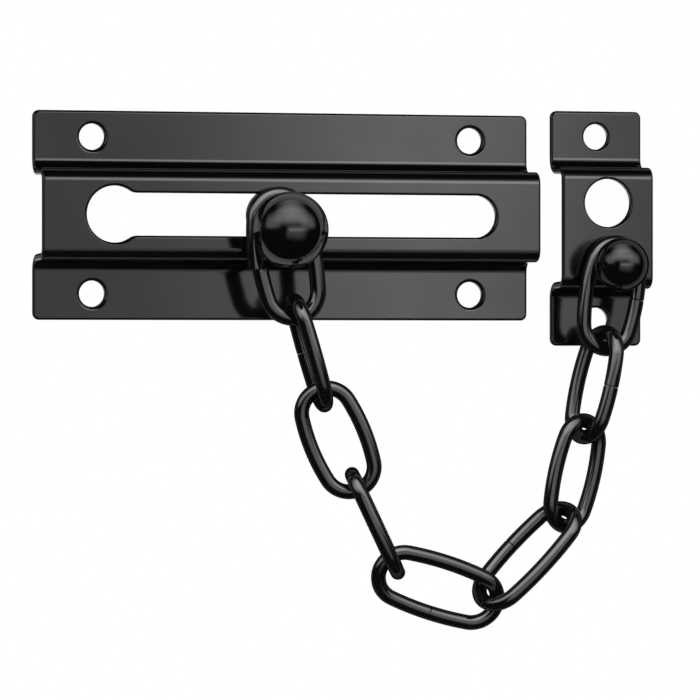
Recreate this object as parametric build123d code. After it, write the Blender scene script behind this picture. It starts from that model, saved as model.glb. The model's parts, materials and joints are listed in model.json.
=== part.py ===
# Door chain guard: a keyhole track plate, a ball knob that slides in it, a chain of bent-wire
# links, and a keep plate with a ball stud. Millimetres, X along the track, Y into the door, Z up.
# The origin is the centre of the four track screws, on the back of the track plate.
import math
import os

from build123d import *

# Sheet steel, the same in both plates
sheet = 1.5
fold_inside = 1.0
foot_inside = 1.9
riser_lean = 2.0
edge_round = 0.5
corner_round = 1.3
screw_hole_d = 5.2
screw_across = 0.545
hole_rim = 0.45

# Slide knob: ball, neck and rear disc, turned in one piece
knob_ball_d = 15.0
knob_neck_d = 6.6
knob_disc_d = 10.6
knob_disc_thick = 2.0
knob_droop = 13.0
knob_rest_x = -3.75

# Fits
run_gap = 0.12
slot_play = 1.8
disc_play = 0.6
face_gap = 0.6
neck_play = 0.4
neck_slack = 1.6
stud_slack = 3.6
stud_play = 0.2
neck_gap = 0.2
wire_gap = 0.3
stud_gap = 0.85
stud_side = 1.0
rivet_fit = 0.02

# Track plate
track_length = 102.0
track_height = 41.5
track_rise = 9.5
track_band = 18.0
track_screw_x = 78.0
keyhole_x = -36.5
slot_end_x = 37.5
keyhole_blend = 2.4
track_hole_rim = 0.7
slot_width = knob_neck_d + slot_play
keyhole_d = knob_disc_d + disc_play

# Keep plate, beside the end of the track plate
keep_gap = 5.1
keep_width = 19.2
keep_height = 47.7
keep_rise = 8.0
keep_band = 24.4
keep_drop = 2.0
park_hole_d = 9.7
park_hole_up = 5.0
stud_down = 7.6
keep_x = track_length / 2 + keep_gap + keep_width / 2

# Chain wire and links
link_wire = 3.0
link_inner_length = 18.6
low_inner_length = 22.2
link_inner_width = 8.0
end_wire = 3.2
end_inner_length = 21.4
end_inner_width = knob_neck_d + neck_slack
leg_bow = 0.5
seam = 0.06
seam_bevel = 0.2
seam_spring = 0.65
end_seam_off = 1.6

# Anchor stud: ball, neck, shank through the keep plate and a peened head behind it
stud_ball_d = 10.8
stud_neck_d = link_inner_width - stud_slack
stud_head_d = 2 * (keep_band / 2 - fold_inside - sheet - stud_down)
stud_shank_d = 0.68 * stud_head_d
stud_head_thick = 1.0

# The links in order from the knob to the stud: node, angle from straight down towards +X,
# roll about its own length (the seam is on the leg that the roll turns to), seam showing, length
chain = (
    ("end_link_knob", 10.5, 180.0, True, end_inner_length),
    ("chain_link_2", 16.3, -86.0, True, link_inner_length),
    ("chain_link_3", 23.0, 15.0, False, link_inner_length),
    ("chain_link_4", 25.7, 104.0, False, link_inner_length),
    ("chain_link_5", 72.0, 197.0, True, low_inner_length),
    ("chain_link_6", 135.8, -61.0, True, low_inner_length),
    ("chain_link_7", 167.0, 28.0, False, link_inner_length),
    ("chain_link_8", 167.2, 110.0, True, link_inner_length),
    ("end_link_stud", 170.8, 184.0, True, link_inner_length),
)


def riser_foot(rise, band):
    """Half the width of the hat section where its risers meet the flanges."""
    return band / 2 + rise * math.tan(math.radians(riser_lean))


def screw_row(height, rise, band):
    """How far from the plate's middle line its screws are: part of the way across the flange."""
    foot = riser_foot(rise, band)
    return foot + (height / 2 - foot) * screw_across


def folded_plate(width, height, rise, band):
    """A plate folded to a hat section: two flanges, two risers and a raised face."""
    foot = riser_foot(rise, band)
    inset = sheet * math.tan(math.radians(90 - riser_lean) / 2)
    faces = []
    for y, in_by, foot_round, top_round in (
        (-sheet, 0, foot_inside, fold_inside + sheet),
        (0, inset, foot_inside + sheet, fold_inside),
    ):
        faces.append(
            FilletPolyline(
                (y, height / 2),
                (y, foot - in_by),
                (y - rise, band / 2 - in_by),
                (y - rise, in_by - band / 2),
                (y, in_by - foot),
                (y, -height / 2),
                radius=[foot_round, top_round, top_round, foot_round],
            )
        )
    front, back = faces
    cuts = [Line(front @ 0, back @ 0), Line(front @ 1, back @ 1)]
    section = make_face([*front.edges(), *back.edges(), *cuts])
    plate = extrude(Plane.YZ * section, amount=width / 2, both=True)
    outline = RectangleRounded(width, height, corner_round)
    return plate & extrude(Plane.XZ * outline, amount=rise + 2 * sheet, both=True)


def round_ends(plate, width):
    """Rounds every edge of the cut outline."""
    outline = plate.edges().filter_by_position(Axis.X, -width / 2, -width / 2)
    outline += plate.edges().filter_by_position(Axis.X, width / 2, width / 2)
    return fillet(outline, edge_round)


def drill(plate, diameter, places, rim):
    """Drills holes along Y at the given X, Z places and rounds their front edges."""
    for x, z in places:
        plate -= Pos(x, 0, z) * Rot(90, 0, 0) * Cylinder(diameter / 2, 100)
        near = plate.edges().filter_by(GeomType.CIRCLE).sort_by_distance((x, -100, z))
        plate = fillet([e for e in near if abs(e.radius - diameter / 2) < 1e-4][:1], rim)
    return plate


def keyhole():
    """The keyhole and its slot, as one outline on the X, Z plane."""
    hole = Pos(keyhole_x, 0) * Circle(keyhole_d / 2)
    middle = (keyhole_x + slot_end_x) / 2
    hole += Pos(middle, 0) * Rectangle(slot_end_x - keyhole_x, slot_width)
    hole += Pos(slot_end_x, 0) * Circle(slot_width / 2)
    throat = hole.vertices().sort_by(Axis.X)
    return fillet([v for v in throat if v.X < 0][-2:], keyhole_blend)


def link_bend(wire, inner_length, inner_width):
    """Centreline radius of a link's end bends, and how far their centres are from its middle."""
    radius = (inner_width + wire) / 2 - leg_bow
    return radius, (inner_length + wire) / 2 - radius


def wire_link(wire, inner_length, inner_width, gap, spring, off):
    """A bent-wire link along X with bowed legs. A gap leaves a butt seam on the +Y leg, at X = off,
    and a spring lifts one of its ends."""
    radius, half = link_bend(wire, inner_length, inner_width)
    below = (half**2 - leg_bow**2) / (2 * leg_bow)
    leg_radius = below + radius + leg_bow
    lean = math.atan2(half, below)
    begin = math.asin((off + gap / 2) / leg_radius)
    rise = lean + math.atan2(spring, half)
    start = Vector(math.sin(begin), math.cos(begin), 0) * leg_radius - Vector(0, below, 0)
    heading = Vector(math.cos(begin), -math.sin(begin), 0)
    leg_1 = JernArc(start, heading, leg_radius, math.degrees(begin - lean))
    bend_1 = JernArc(leg_1 @ 1, leg_1 % 1, radius, math.degrees(2 * lean) - 180)
    leg_2 = JernArc(bend_1 @ 1, bend_1 % 1, leg_radius, math.degrees(-2 * lean))
    bend_2 = JernArc(leg_2 @ 1, leg_2 % 1, radius, math.degrees(lean + rise) - 180)
    reach = (off - gap / 2 - (bend_2 @ 1).X) / leg_radius
    leg_3_turn = math.asin(math.sin(rise) - reach) - rise
    leg_3 = JernArc(bend_2 @ 1, bend_2 % 1, leg_radius, math.degrees(leg_3_turn))
    path = Wire([leg_1, bend_1, leg_2, bend_2, leg_3])
    body = sweep(Plane(start, z_dir=heading) * Circle(wire / 2), path=path)
    if gap:
        ends = body.edges().filter_by(GeomType.CIRCLE).sort_by_distance(start)
        body = chamfer(ends[:2], seam_bevel)
    return body


def link_sizes(index):
    """Wire, inner length and inner width of a link: the first one is of thicker wire."""
    if index == 0:
        return end_wire, chain[index][4], end_inner_width
    return link_wire, chain[index][4], link_inner_width


def towards(pull, along, across):
    """The way from a bend's centre to the point of the bend that takes a pull."""
    return (along * pull.dot(along) + across * pull.dot(across)).normalized()


def hang(lean, spread, neck):
    """Lays the links out from the knob's neck. Gives their middles, directions and the far end."""
    along = []
    across = []
    for node, angle, roll, open_seam, inner_length in chain:
        turned = math.radians(angle + lean + spread * (90 - angle) / 90)
        along.append(Vector(math.sin(turned), 0, -math.cos(turned)))
        level = Vector(math.cos(turned), 0, math.sin(turned))
        tilt = math.radians(roll)
        across.append(level * math.cos(tilt) + Vector(0, -1, 0) * math.sin(tilt))
    places = []
    point = neck - along[0] * ((knob_neck_d + end_wire) / 2 / math.cos(math.radians(knob_droop)) + neck_gap)
    for i in range(len(chain)):
        wire, inner_length, inner_width = link_sizes(i)
        radius, half = link_bend(wire, inner_length, inner_width)
        pull = along[i] if i == 0 else (along[i - 1] + along[i]).normalized()
        near = point + towards(pull, along[i], across[i]) * radius
        middle = near + along[i] * half
        far = middle + along[i] * half
        places.append((middle, along[i], across[i]))
        if i + 1 < len(chain):
            pull = (along[i] + along[i + 1]).normalized()
            clear = (wire + link_wire) / 2 + wire_gap
        else:
            pull = along[i]
            clear = (wire + stud_neck_d) / 2 + stud_gap
        point = far + towards(pull, along[i], across[i]) * radius - pull * clear
    return places, point


def settle(neck, stud):
    """Leans and spreads the hanging links until the last one meets the stud."""
    lean = 0.0
    spread = 0.0
    nudge = 0.01
    for step in range(60):
        miss = hang(lean, spread, neck)[1] - stud
        if abs(miss.X) + abs(miss.Z) < 1e-7:
            break
        by_lean = (hang(lean + nudge, spread, neck)[1] - stud - miss) * (1 / nudge)
        by_spread = (hang(lean, spread + nudge, neck)[1] - stud - miss) * (1 / nudge)
        size = by_lean.X * by_spread.Z - by_spread.X * by_lean.Z
        lean -= (miss.X * by_spread.Z - by_spread.X * miss.Z) / size
        spread -= (by_lean.X * miss.Z - miss.X * by_lean.Z) / size
    return hang(lean, spread, neck)[0]


# Track plate
track_front = -sheet - track_rise
track_plate = round_ends(folded_plate(track_length, track_height, track_rise, track_band), track_length)
track_plate -= extrude(Plane.XZ * keyhole(), amount=100, both=True)
slot_edges = track_plate.edges().filter_by_position(Axis.Y, track_front - 1e-4, track_front + 1e-4)
slot_edges = slot_edges.filter_by_position(Axis.Z, -keyhole_d / 2 - 0.1, keyhole_d / 2 + 0.1)
slot_edges = slot_edges.filter_by_position(Axis.X, -track_length / 2 + 1, track_length / 2 - 1)
track_plate = fillet(slot_edges, edge_round)
track_row = screw_row(track_height, track_rise, track_band)
track_screws = [(x * track_screw_x / 2, z * track_row) for x in (-1, 1) for z in (-1, 1)]
track_plate = drill(track_plate, screw_hole_d, track_screws, track_hole_rim)

# Keep plate
keep_front = -sheet - keep_rise
keep_plate = round_ends(folded_plate(keep_width, keep_height, keep_rise, keep_band), keep_width)
keep_row = screw_row(keep_height, keep_rise, keep_band)
keep_plate = drill(keep_plate, screw_hole_d, [(0, keep_row), (0, -keep_row)], hole_rim)
keep_plate = drill(keep_plate, park_hole_d, [(0, park_hole_up)], hole_rim)
keep_plate -= Pos(0, 0, -stud_down) * Rot(90, 0, 0) * Cylinder((stud_shank_d + rivet_fit) / 2, 100)
keep_plate = Pos(keep_x, 0, -keep_drop) * keep_plate

# Anchor stud, along its own axis from the front of the keep plate
stud_exposed = face_gap + link_wire + stud_play
stud_centre = stud_exposed + math.sqrt((stud_ball_d / 2) ** 2 - (stud_neck_d / 2) ** 2)
stud_head = Pos(0, 0, -sheet - stud_head_thick / 2) * Cylinder(stud_head_d / 2, stud_head_thick)
stud_head = fillet(stud_head.edges().sort_by(Axis.Z)[:1], stud_head_thick * 0.7)
anchor_stud = stud_head + Pos(0, 0, -sheet / 2 - 0.1) * Cylinder(stud_shank_d / 2, sheet + 0.2)
anchor_stud += Pos(0, 0, stud_centre / 2) * Cylinder(stud_neck_d / 2, stud_centre)
anchor_stud += Pos(0, 0, stud_centre) * Sphere(stud_ball_d / 2)
stud_z = -keep_drop - stud_down
anchor_stud = Plane((keep_x, keep_front, stud_z), x_dir=(1, 0, 0), z_dir=(0, -1, 0)) * anchor_stud

# Slide knob, along its own axis from the middle of the slotted sheet
droop = math.radians(knob_droop)
knob_y = -track_rise - sheet / 2
knob_drop = slot_width / 2 - run_gap - knob_neck_d / 2 / math.cos(droop) - sheet / 2 * math.tan(droop)
disc_back = (sheet / 2 + run_gap + knob_disc_d / 2 * math.sin(droop)) / math.cos(droop)
knob_exposed = face_gap + end_wire + neck_play
knob_centre = sheet / 2 / math.cos(droop) + knob_exposed
knob_centre += math.sqrt((knob_ball_d / 2) ** 2 - (knob_neck_d / 2) ** 2)
knob_disc = Pos(0, 0, -disc_back - knob_disc_thick / 2) * Cylinder(knob_disc_d / 2, knob_disc_thick)
knob_disc = fillet(knob_disc.edges(), edge_round)
neck_length = knob_centre + disc_back
slide_knob = knob_disc + Pos(0, 0, neck_length / 2 - disc_back) * Cylinder(knob_neck_d / 2, neck_length)
slide_knob += Pos(0, 0, knob_centre) * Sphere(knob_ball_d / 2)
knob_axis = (0, -math.cos(droop), -math.sin(droop))
slide_knob = Plane((knob_rest_x, knob_y, -knob_drop), x_dir=(1, 0, 0), z_dir=knob_axis) * slide_knob

# Chain, hung from the knob's neck to the stud's neck
first_y = track_front - face_gap - end_wire / 2
last_y = keep_front - face_gap - link_wire / 2
neck_z = -knob_drop - (knob_y - first_y) * math.tan(droop)
neck_point = Vector(knob_rest_x, 0, neck_z)
stud_point = Vector(keep_x + stud_side, 0, stud_z)
links = {}
places = settle(neck_point, stud_point)
drift = (last_y - first_y - places[-1][0].Y + places[0][0].Y) / (len(chain) - 1)
for i, (middle, along, across) in enumerate(places):
    node, angle, roll, open_seam, inner_length = chain[i]
    depth = first_y + middle.Y - places[0][0].Y + drift * i
    place = Plane((middle.X, depth, middle.Z), x_dir=along, z_dir=along.cross(across))
    gap = seam if open_seam else 0.0
    spring, off = (seam_spring, end_seam_off) if i == 0 else (0.0, 0.0)
    links[node] = place * wire_link(*link_sizes(i), gap, spring, off)

# One STEP file for each node
nodes = {
    "track_plate": track_plate,
    "keep_plate": keep_plate,
    "anchor_stud": anchor_stud,
    "slide_knob": slide_knob,
    **links,
}
os.makedirs("parts", exist_ok=True)
for node, shape in nodes.items():
    export_step(shape, f"parts/{node}.step")
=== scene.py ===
# %% [markdown]
# # A black door chain guard
# The guard is two folded steel plates, a chain of bent wire links and two ball-headed pieces: the
# knob that slides in the keyhole track and the stud that is riveted to the keep plate. They could be
# modelled again here, but the imported solids already have every shape, so this lesson is about finish,
# light and camera. The imported model is loaded first. Plates, balls and links are three kinds of
# piece, and each kind is finished and lit in its own way.

# %% Load the imported model
import json
import math

import bpy
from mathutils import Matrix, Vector

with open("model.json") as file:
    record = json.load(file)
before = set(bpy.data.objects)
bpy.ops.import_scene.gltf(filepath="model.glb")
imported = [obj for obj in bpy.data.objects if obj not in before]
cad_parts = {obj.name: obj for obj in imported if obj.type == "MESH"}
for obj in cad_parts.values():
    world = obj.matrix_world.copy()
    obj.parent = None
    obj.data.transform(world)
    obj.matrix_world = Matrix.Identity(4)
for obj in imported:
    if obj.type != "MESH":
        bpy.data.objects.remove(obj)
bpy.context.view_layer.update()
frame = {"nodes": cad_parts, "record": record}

scene = bpy.context.scene
MM = 0.001
PLATES = ("track_plate", "keep_plate")
KNOB = "slide_knob"
BALLS = (KNOB, "anchor_stud")
LINKS = tuple(sorted(name for name in frame["nodes"] if "link" in name))
print("pieces:", sorted(frame["nodes"]))

# %% [markdown]
# ## Smooth faces, crisp folds
# The solids arrive as triangles. Balls, wires and folds should look round, while the punched edges
# and the butt seams should stay crisp. Smooth shading alone would blur those edges, and a bevel would
# change their shape. Marking every edge sharper than a chosen angle as sharp, and shading the rest
# smooth, does both without moving a point.

# %% Shading of the loaded pieces
CRISP_ANGLE = math.radians(32)
for piece in frame["nodes"].values():
    piece.data.shade_smooth()
    piece.data.set_sharp_from_angle(angle=CRISP_ANGLE)
print("faces:", sum(len(piece.data.polygons) for piece in frame["nodes"].values()))

# %% [markdown]
# ## Colours and nodes
# Colours are written as the hex values that a screen shows. Blender's shaders work with linear
# light, so one function converts them. One more small function adds a node, sets its inputs and
# links what it is given: that is all that the materials, the lamps and the world below need.

# %% Helpers for nodes


def linear(hex_colour):
    """An sRGB hex colour as linear red, green, blue and alpha."""
    parts = [int(hex_colour[i:i + 2], 16) / 255 for i in (1, 3, 5)]
    return [v / 12.92 if v <= 0.04045 else ((v + 0.055) / 1.055) ** 2.4 for v in parts] + [1.0]


def node(tree, kind, settings=None, **inputs):
    """Adds a node. Settings are its properties, and inputs are values or sockets to link from.

    An input goes by its name, with _ for a space, or by its number, as in _1.
    """
    made = tree.nodes.new(kind)
    for name, value in (settings or {}).items():
        setattr(made, name, value)
    for name, value in inputs.items():
        key = int(name[1:]) if name[1:].isdigit() else name.replace("_", " ")
        if isinstance(value, bpy.types.NodeSocket):
            tree.links.new(value, made.inputs[key])
        else:
            made.inputs[key].default_value = value
    return made


def per_metre(size_mm):
    """The texture scale that makes a feature of this size in millimetres."""
    return 1 / (size_mm * MM)


print("mid grey in linear light:", [round(v, 3) for v in linear("#808080")])

# %% [markdown]
# ## Clean tips on the balls
# The balls are turned from steel bar and have no mark at the tip. In the mesh two points lie on one
# spot there and their normals disagree, which would leave a small glint in the mirror finish. The
# mesh could be mended by hand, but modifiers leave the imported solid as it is. Three of them do it:
# the points are welded, the normals are worked out afresh from the faces, and the turned edges are
# split so that they stay crisp.

# %% Fresh normals for the balls
WELD_MM = 0.001
fresh = bpy.data.node_groups.new("fresh_normals", "GeometryNodeTree")
fresh.interface.new_socket("Geometry", in_out="INPUT", socket_type="NodeSocketGeometry")
fresh.interface.new_socket("Geometry", in_out="OUTPUT", socket_type="NodeSocketGeometry")
loaded = node(fresh, "NodeGroupInput")
smooth = node(fresh, "GeometryNodeSetMeshNormal", Mesh=loaded.outputs["Geometry"], Remove_Custom=True)
node(fresh, "NodeGroupOutput", Geometry=smooth.outputs["Mesh"])
for name in BALLS:
    ball = frame["nodes"][name]
    ball.modifiers.new("welded_tip", "WELD").merge_threshold = WELD_MM * MM
    ball.modifiers.new("fresh_normals", "NODES").node_group = fresh
    edges = ball.modifiers.new("crisp_edges", "EDGE_SPLIT")
    edges.split_angle = CRISP_ANGLE
    edges.use_edge_sharp = False
print("fresh normals on:", list(BALLS))

# %% [markdown]
# ## Black enamel on steel
# The plates are pressed from sheet steel and finished in baked black enamel. Enamel is a thin,
# hard, smooth film: nearly black itself, with a glossy skin that mirrors the studio at about four
# per cent. What the eye reads as grey on the plates is that mirror image. Three fine things keep it
# from looking like plastic: a slow waviness of the steel, the orange peel of the film, and a few dust
# nibs that dull the gloss. They could be painted as an image and wrapped round each piece. Textures
# that are worked out from the place on the piece need no image and no wrapping, and each feature is
# sized in millimetres, so one function makes the film for every piece.

# %% Enamel
FILM_MM = 9
FILM_LOW = 0.3
FILM_HIGH = 0.7
# The radii of a nib are shares of the nibs' spacing.
NIB_SPACING_MM = 2.4
NIB_CORE = 0.03
NIB_EDGE = 0.07
NIB_DULLING = 0.05


def enamel(name, colour, dull_colour, gloss, dull, peel_mm, peel_depth_mm, wave_mm, wave_depth_mm, ior):
    """Enamel whose film drifts between two blacks, and between a glossy and a duller roughness."""
    material = bpy.data.materials.new(name)
    material.use_nodes = True
    tree = material.node_tree
    shader = tree.nodes["Principled BSDF"]
    place = node(tree, "ShaderNodeTexCoord").outputs["Object"]
    film = node(tree, "ShaderNodeTexNoise", Vector=place, Scale=per_metre(FILM_MM), Detail=3.0)
    # A Mix node has sockets for every type of data: its colours are inputs 6 and 7 and output 2.
    tint = node(tree, "ShaderNodeMix", {"data_type": "RGBA"}, Factor=film.outputs["Fac"],
                _6=linear(colour), _7=linear(dull_colour))
    nibs = node(tree, "ShaderNodeTexVoronoi", Vector=place, Scale=per_metre(NIB_SPACING_MM))
    nib = node(tree, "ShaderNodeMapRange", Value=nibs.outputs["Distance"],
               From_Min=NIB_CORE, From_Max=NIB_EDGE, To_Min=NIB_DULLING, To_Max=0.0)
    sheen = node(tree, "ShaderNodeMapRange", Value=film.outputs["Fac"],
                 From_Min=FILM_LOW, From_Max=FILM_HIGH, To_Min=gloss, To_Max=dull)
    rough = node(tree, "ShaderNodeMath", {"operation": "ADD"}, _0=sheen.outputs["Result"],
                 _1=nib.outputs["Result"])
    peel = node(tree, "ShaderNodeTexNoise", Vector=place, Scale=per_metre(peel_mm), Detail=2.0)
    fine = node(tree, "ShaderNodeBump", Height=peel.outputs["Fac"], Distance=peel_depth_mm * MM)
    wave = node(tree, "ShaderNodeTexNoise", Vector=place, Scale=per_metre(wave_mm), Detail=1.0)
    bump = node(tree, "ShaderNodeBump", Height=wave.outputs["Fac"], Distance=wave_depth_mm * MM,
                Normal=fine.outputs["Normal"])
    tree.links.new(tint.outputs[2], shader.inputs["Base Color"])
    tree.links.new(rough.outputs["Value"], shader.inputs["Roughness"])
    tree.links.new(bump.outputs["Normal"], shader.inputs["Normal"])
    shader.inputs["IOR"].default_value = ior
    return material


print("film drifts over", FILM_MM, "mm, nibs every", NIB_SPACING_MM, "mm")

# %% [markdown]
# ### Plates, wire and balls
# The sheet of the plates is sprayed, so its film is a little duller, with longer and deeper waves. The
# wire and the balls are dipped: their film is glossier, and on the wire it mirrors about twice as much.
# One finish for all would be simpler, but sheet, wire and balls look different in the photograph. The
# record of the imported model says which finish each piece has.

# %% Three finishes
finishes = {
    "plate_black": enamel("baked_enamel_on_sheet_steel", colour="#070708", dull_colour="#0b0b0c",
                          gloss=0.1, dull=0.14, peel_mm=0.9, peel_depth_mm=0.001,
                          wave_mm=14, wave_depth_mm=0.01, ior=1.5),
    "chain_black": enamel("dipped_enamel_on_steel_wire", colour="#080809", dull_colour="#0c0c0d",
                          gloss=0.05, dull=0.09, peel_mm=0.8, peel_depth_mm=0.001,
                          wave_mm=6, wave_depth_mm=0.006, ior=1.8),
    "ball_black": enamel("dipped_enamel_on_turned_steel", colour="#040405", dull_colour="#080809",
                         gloss=0.05, dull=0.08, peel_mm=0.8, peel_depth_mm=0.0005,
                         wave_mm=7, wave_depth_mm=0.003, ior=1.5),
}
for entry in frame["record"]["subparts"]:
    piece = frame["nodes"][entry["node"]]
    piece.data.materials.clear()
    piece.data.materials.append(finishes[entry["material_slot"]])
print("finishes:", [material.name for material in finishes.values()])

# %% [markdown]
# ## Floor
# The guard hangs clear of a plain pale floor. A real one would be a sheet of card, whose edge shows.
# Here it is a disc whose rim fades out, so that it has no edge against the white of the studio. The
# floor is left out of reflections and blocks no lamp: what the guard mirrors is planned further down.

# %% Pale floor
# The stage is built round a point near the middle of the guard.
MIDDLE = Vector((12, 0, -20)) * MM
FLOOR_Z = -0.17
FLOOR_ACROSS = 1.5
FLOOR_CORNERS = 96
# The share of the floor's radius over which it fades.
FLOOR_FADE = 0.6
bpy.ops.mesh.primitive_circle_add(vertices=FLOOR_CORNERS, radius=FLOOR_ACROSS / 2, fill_type="NGON",
                                  location=(MIDDLE.x, MIDDLE.y, FLOOR_Z))
floor = bpy.context.object
floor.name = "floor"
pale = bpy.data.materials.new("pale_floor_paint")
pale.use_nodes = True
tree = pale.node_tree
paint = tree.nodes["Principled BSDF"]
paint.inputs["Base Color"].default_value = linear("#f1f1ef")
paint.inputs["Roughness"].default_value = 0.8
place = node(tree, "ShaderNodeTexCoord").outputs["Object"]
sized = node(tree, "ShaderNodeMapping", Vector=place, Scale=[2 / FLOOR_ACROSS] * 3)
reach = node(tree, "ShaderNodeTexGradient", {"gradient_type": "SPHERICAL"},
             Vector=sized.outputs["Vector"])
fade = node(tree, "ShaderNodeMapRange", {"interpolation_type": "SMOOTHSTEP"},
            Value=reach.outputs["Fac"], From_Min=0.0, From_Max=FLOOR_FADE)
clear = node(tree, "ShaderNodeBsdfTransparent")
rim = node(tree, "ShaderNodeMixShader", Fac=fade.outputs["Result"], _1=clear.outputs["BSDF"],
           _2=paint.outputs["BSDF"])
tree.links.new(rim.outputs["Shader"], tree.nodes["Material Output"].inputs["Surface"])
floor.data.materials.append(pale)
floor.visible_glossy = floor.visible_shadow = False
print("floor at", FLOOR_Z / MM, "mm")

# %% [markdown]
# ## Studio light
# A black glossy thing shows little but what it mirrors. So the light is planned as a picture to be
# mirrored. A picture of a real room would do, but then no reflection could be set by itself. The
# surround is white. On the camera's side the room is dark, as in a real studio, which gives the
# balls, folds and wires their deep black. Into that dark hang softboxes and a window. White comes
# first: the camera and the mirror images see it in full, while as light it is only a weak fill, so
# that the pale floor comes out about as it is painted.

# %% White surround
FILL_LEVEL = 0.3
world = bpy.data.worlds.new("studio")
scene.world = world
world.use_nodes = True
tree = world.node_tree
tree.nodes.clear()
ray = node(tree, "ShaderNodeLightPath")
seen = node(tree, "ShaderNodeMath", {"operation": "MAXIMUM"}, _0=ray.outputs["Is Camera Ray"],
            _1=ray.outputs["Is Glossy Ray"])
seen = node(tree, "ShaderNodeMath", {"operation": "MAXIMUM"}, _0=seen.outputs["Value"],
            _1=ray.outputs["Is Transmission Ray"])
white = node(tree, "ShaderNodeBackground", Color=linear("#ffffff"), Strength=1.0)
fill = node(tree, "ShaderNodeBackground", Color=linear("#f6f7fa"), Strength=FILL_LEVEL)
both = node(tree, "ShaderNodeMixShader", Fac=seen.outputs["Value"], _1=fill.outputs["Background"],
            _2=white.outputs["Background"])
tree.links.new(both.outputs["Shader"], node(tree, "ShaderNodeOutputWorld").inputs["Surface"])
print("world:", world.name)

# %% [markdown]
# ### Softboxes with soft rims
# A real softbox is brightest in its middle and fades to its rim. A plain area lamp is as bright at its
# edge as in its middle, and would be mirrored as a hard rectangle. The Parametric output of the
# Geometry node runs from 0 to 1 across a lamp's face, so four ramps, one from each edge, give every
# edge its own softness. Each lamp is placed by the direction in which the guard sees it, in degrees:
# azimuth from the front towards the right, elevation upwards. Distances and sizes are in metres.

# %% Softbox


def seen_at(azimuth, elevation, distance):
    """The place that the guard sees in this direction."""
    turn, lift = math.radians(azimuth), math.radians(elevation)
    way = Vector((math.sin(turn) * math.cos(lift), -math.cos(turn) * math.cos(lift), math.sin(lift)))
    return MIDDLE + way * distance


def softbox(name, azimuth, elevation, distance, width, height, level, rims):
    """An area lamp whose face has this brightness, where 1 is white. Rims: left, right, low, high."""
    lamp = bpy.data.lights.new(name, "AREA")
    lamp.shape = "RECTANGLE"
    lamp.size, lamp.size_y = width, height
    lamp.energy = level * math.pi * width * height
    lamp.use_nodes = True
    tree = lamp.node_tree
    face = node(tree, "ShaderNodeNewGeometry").outputs["Parametric"]
    across = node(tree, "ShaderNodeSeparateXYZ", Vector=face)
    glow = None
    # Each ramp starts at one edge of the face and rises inwards over the width of its rim.
    for axis, start, rim in zip("XXYY", (0.0, 1.0, 0.0, 1.0), rims):
        ramp = node(tree, "ShaderNodeMapRange", {"interpolation_type": "SMOOTHSTEP"},
                    Value=across.outputs[axis], From_Min=start, From_Max=abs(start - rim))
        edge = ramp.outputs["Result"]
        if glow:
            both = node(tree, "ShaderNodeMath", {"operation": "MULTIPLY"}, _0=glow, _1=edge)
            edge = both.outputs["Value"]
        glow = edge
    tree.links.new(glow, tree.nodes["Emission"].inputs["Strength"])
    made = bpy.data.objects.new(name, lamp)
    made.location = seen_at(azimuth, elevation, distance)
    made.rotation_euler = (MIDDLE - made.location).to_track_quat("-Z", "Y").to_euler()
    made.visible_camera = False
    scene.collection.objects.link(made)
    return made


print("lamps are aimed at", [round(v / MM) for v in MIDDLE], "mm")

# %% [markdown]
# ### Each kind of piece mirrors its own room
# In the photograph the plates, the balls and the links do not all mirror the same room. A single set
# of lamps could suit only one of them. Light linking solves this: a lamp gets a collection of pieces,
# and either lights those alone or leaves those out.

# %% Light linking


def set_apart(source, names, state):
    """Lights these pieces alone (INCLUDE), or everything but them (EXCLUDE), with this source."""
    group = bpy.data.collections.new("pieces_for_" + source.name)
    for name in names:
        group.objects.link(frame["nodes"][name])
    for entry in group.collection_objects:
        entry.light_linking.link_state = state
    source.light_linking.receiver_collection = group


print("plates:", PLATES, "balls:", BALLS, "links:", len(LINKS))

# %% [markdown]
# ### Lamps for all
# A big softbox above the camera rounds the balls and the wires. It is kept off the plates, whose
# folds would turn grey in it. Two smaller softboxes light the sides, and a wide window in front, a
# little low, is what every piece mirrors in its front faces.

# %% Softboxes and window
overhead = softbox("overhead_softbox", azimuth=-12, elevation=46, distance=0.8, width=2.2, height=1.3,
                   level=3.5, rims=(0.5, 0.5, 0.45, 0.35))
set_apart(overhead, PLATES, "EXCLUDE")
softbox("right_softbox", azimuth=40, elevation=24, distance=0.95, width=1.2, height=0.9,
        level=1.7, rims=(0.45, 0.4, 0.3, 0.5))
softbox("left_softbox", azimuth=-70, elevation=24, distance=0.95, width=1.2, height=0.9,
        level=1.7, rims=(0.4, 0.45, 0.3, 0.5))
softbox("window", azimuth=5, elevation=-12, distance=1.3, width=1.9, height=1.25,
        level=1.0, rims=(0.2, 0.4, 0.6, 0.08))

# %% [markdown]
# ### Lamps for the balls
# On the balls a bright band runs across the upper part of the window, which is a strip of its own, and
# one more lamp overhead carries the light up to the ring at the outline.

# %% Strip and top for the balls
ball_lamps = [
    softbox("ball_strip", azimuth=15, elevation=-3, distance=1.29, width=1.9, height=0.34,
            level=2.0, rims=(0.06, 0.7, 0.8, 0.1)),
    softbox("ball_top", azimuth=-12, elevation=86, distance=0.9, width=1.3, height=0.6,
            level=1.5, rims=(0.5, 0.5, 0.4, 0.3)),
]
for lamp in ball_lamps:
    set_apart(lamp, BALLS, "INCLUDE")
print("for the balls:", [lamp.name for lamp in ball_lamps])

# %% [markdown]
# ### Lamps for the plates
# A flat plate mirrors only a narrow slice of the room, so a narrow strip in the window is enough to
# run a soft grey from left to right across it. A second strip, higher up, draws the thin bright lines
# along the upper folds. Three panels, at the sides and behind, are there for other views: they lift
# the black of the flat faces when the guard is seen from the side or from straight behind.

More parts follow.
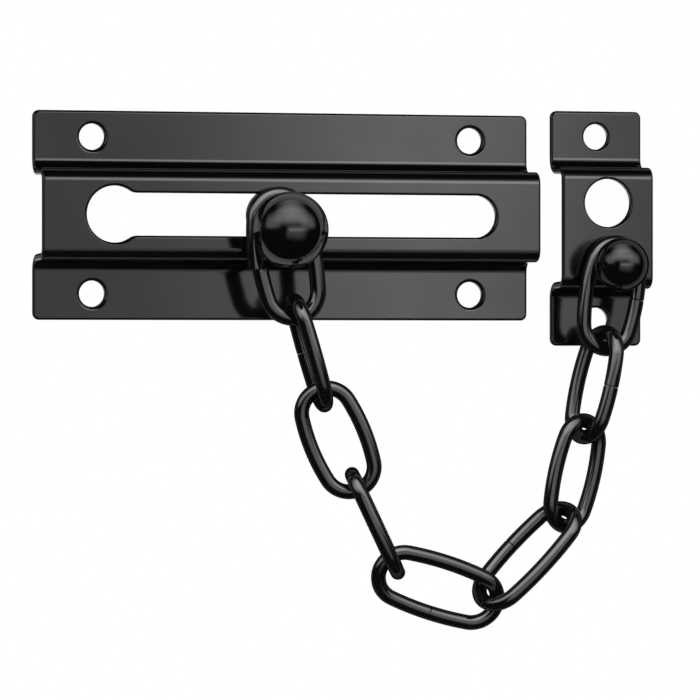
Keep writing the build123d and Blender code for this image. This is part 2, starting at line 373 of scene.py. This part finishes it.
# %% Strips and panels for the plates
plate_lamps = [
    softbox("window_strip", azimuth=16.1, elevation=1, distance=1.28, width=0.24, height=0.8,
            level=2.2, rims=(0.6, 0.4, 0.6, 0.08)),
    softbox("fold_strip", azimuth=15, elevation=20, distance=1.25, width=0.45, height=0.44,
            level=4.0, rims=(0.12, 0.12, 0.15, 0.2)),
    softbox("right_panel", azimuth=78, elevation=-10, distance=1.2, width=1.0, height=0.9,
            level=1.1, rims=(0.5, 0.5, 0.5, 0.5)),
    softbox("left_panel", azimuth=-66, elevation=-10, distance=1.2, width=1.0, height=0.9,
            level=1.1, rims=(0.5, 0.5, 0.5, 0.5)),
    softbox("back_panel", azimuth=180, elevation=-10, distance=1.2, width=1.5, height=0.7,
            level=0.8, rims=(0.4, 0.4, 0.4, 0.4)),
]
for lamp in plate_lamps:
    set_apart(lamp, PLATES, "INCLUDE")
print("for the plates:", [lamp.name for lamp in plate_lamps])

# %% [markdown]
# ### Black cloth and scrim
# The dark of the room is black cloth. Thin scrim hangs beside it: it lets a little of the white wall
# through and glows a little itself, as a lit scrim does. Gauze is thinner still: it lets everything
# through and adds its own glow. Woven threads would be too fine to show in a reflection, so scrim and
# gauze are smooth veils, made by one function.

# %% Cloth, scrim and gauze
cloth = bpy.data.materials.new("black_studio_cloth")
cloth.use_nodes = True
cloth.node_tree.nodes["Principled BSDF"].inputs["Base Color"].default_value = linear("#0c0c0d")
cloth.node_tree.nodes["Principled BSDF"].inputs["Roughness"].default_value = 1.0


def lit_veil(name, through, glow):
    """A thin veil: what shines through is tinted by one colour, and its own glow is another."""
    material = bpy.data.materials.new(name)
    material.use_nodes = True
    tree = material.node_tree
    veil = node(tree, "ShaderNodeBsdfTransparent", Color=linear(through))
    light = node(tree, "ShaderNodeEmission", Color=linear(glow))
    both = node(tree, "ShaderNodeAddShader", _0=veil.outputs["BSDF"], _1=light.outputs["Emission"])
    tree.links.new(both.outputs["Shader"], tree.nodes["Material Output"].inputs["Surface"])
    return material


scrim = lit_veil("thin_scrim", through="#616161", glow="#7f7f7f")
gauze = lit_veil("lit_gauze", through="#ffffff", glow="#a0a0a0")
print("cloths:", cloth.name, scrim.name, gauze.name)

# %% [markdown]
# ### A globe of cloth round the guard
# A dome of black cloth stands round the camera's side. A collar of the same cloth hangs behind, round
# the part of the white wall that the camera sees: it keeps the outlines of balls and wires dark
# against the white. Between dome and collar hangs the scrim, which is mirrored as a grey ring inside
# the outline. Its glow is kept off the links, whose edges are blacker, and gauze lifts the ring on the
# knob. Flat panels would leave gaps between them, so the cloth is made as zones of a globe, which are
# given by angles from the camera's direction. The cloth shows in reflections only: the camera looks
# through it, and it shades nothing.

# %% Dome, ring and collar
CLOTH_RADIUS = 2.6
GAUZE_RADIUS = 2.5
CLOTH_TURN = math.radians(-15)
SPOKES = 48
RINGS = 12
LENS_HOLE = 0.5
DOME_EDGE = 102
COLLAR_START = 132
COLLAR_END = 172
GAUZE_END = 150


def cloth_zone(name, material, start, end, radius):
    """Part of a globe of cloth round the guard, between two angles from the camera's direction."""
    points, faces = [], []
    for ring in range(RINGS + 1):
        polar = math.radians(start + (end - start) * ring / RINGS)
        for spoke in range(SPOKES):
            turn = 2 * math.pi * spoke / SPOKES
            points.append(Vector((math.sin(polar) * math.cos(turn), -math.cos(polar),
                                  math.sin(polar) * math.sin(turn))) * radius)
    for ring in range(RINGS):
        for spoke in range(SPOKES):
            here, after = ring * SPOKES + spoke, ring * SPOKES + (spoke + 1) % SPOKES
            faces.append((here, after, after + SPOKES, here + SPOKES))
    made = bpy.data.objects.new(name, bpy.data.meshes.new(name))
    made.data.from_pydata(points, [], faces)
    made.data.materials.append(material)
    made.location = MIDDLE
    made.rotation_euler = (0, 0, CLOTH_TURN)
    made.visible_camera = made.visible_diffuse = made.visible_shadow = False
    scene.collection.objects.link(made)
    return made


dome = cloth_zone("dark_dome", cloth, LENS_HOLE, DOME_EDGE, CLOTH_RADIUS)
scrim_ring = cloth_zone("scrim_ring", scrim, DOME_EDGE, COLLAR_START, CLOTH_RADIUS)
collar = cloth_zone("dark_collar", cloth, COLLAR_START, COLLAR_END, CLOTH_RADIUS)
gauze_ring = cloth_zone("gauze_ring", gauze, DOME_EDGE, GAUZE_END, GAUZE_RADIUS)
set_apart(scrim_ring, LINKS, "EXCLUDE")
set_apart(gauze_ring, [KNOB], "INCLUDE")
print("cloth:", [zone.name for zone in (dome, scrim_ring, collar, gauze_ring)])

# %% [markdown]
# ## Camera
# The photograph was taken from a little to the left, level with the middle of the guard, through a
# long lens: the plates' edges stay almost parallel. The left-hand faces of the plates show only as
# thin lines, which fixes the angle. The lens follows from the photograph's scale: five pixels to a
# millimetre, in a frame of 700 pixels.

# %% Camera
AZIMUTH = math.radians(-15.2)
DISTANCE = 1.0
TARGET = Vector((12.85, -5.0, -26.7)) * MM
FRAME_PIXELS = 700
PIXELS_PER_METRE = 5000
SENSOR_MM = 36
camera = bpy.data.objects.new("camera", bpy.data.cameras.new("camera"))
camera.data.sensor_width = SENSOR_MM
camera.data.lens = SENSOR_MM * PIXELS_PER_METRE * DISTANCE / FRAME_PIXELS
camera.location = TARGET + Vector((math.sin(AZIMUTH), -math.cos(AZIMUTH), 0)) * DISTANCE
camera.rotation_euler = (math.radians(90), 0, AZIMUTH)
scene.collection.objects.link(camera)
scene.camera = camera
print("camera at", [round(v / MM) for v in camera.location], "mm, lens", round(camera.data.lens), "mm")

# %% [markdown]
# ## View transform
# The picture uses the Standard view transform, so that a colour comes out as it is written.

# %% Finish
scene.view_settings.view_transform = "Standard"
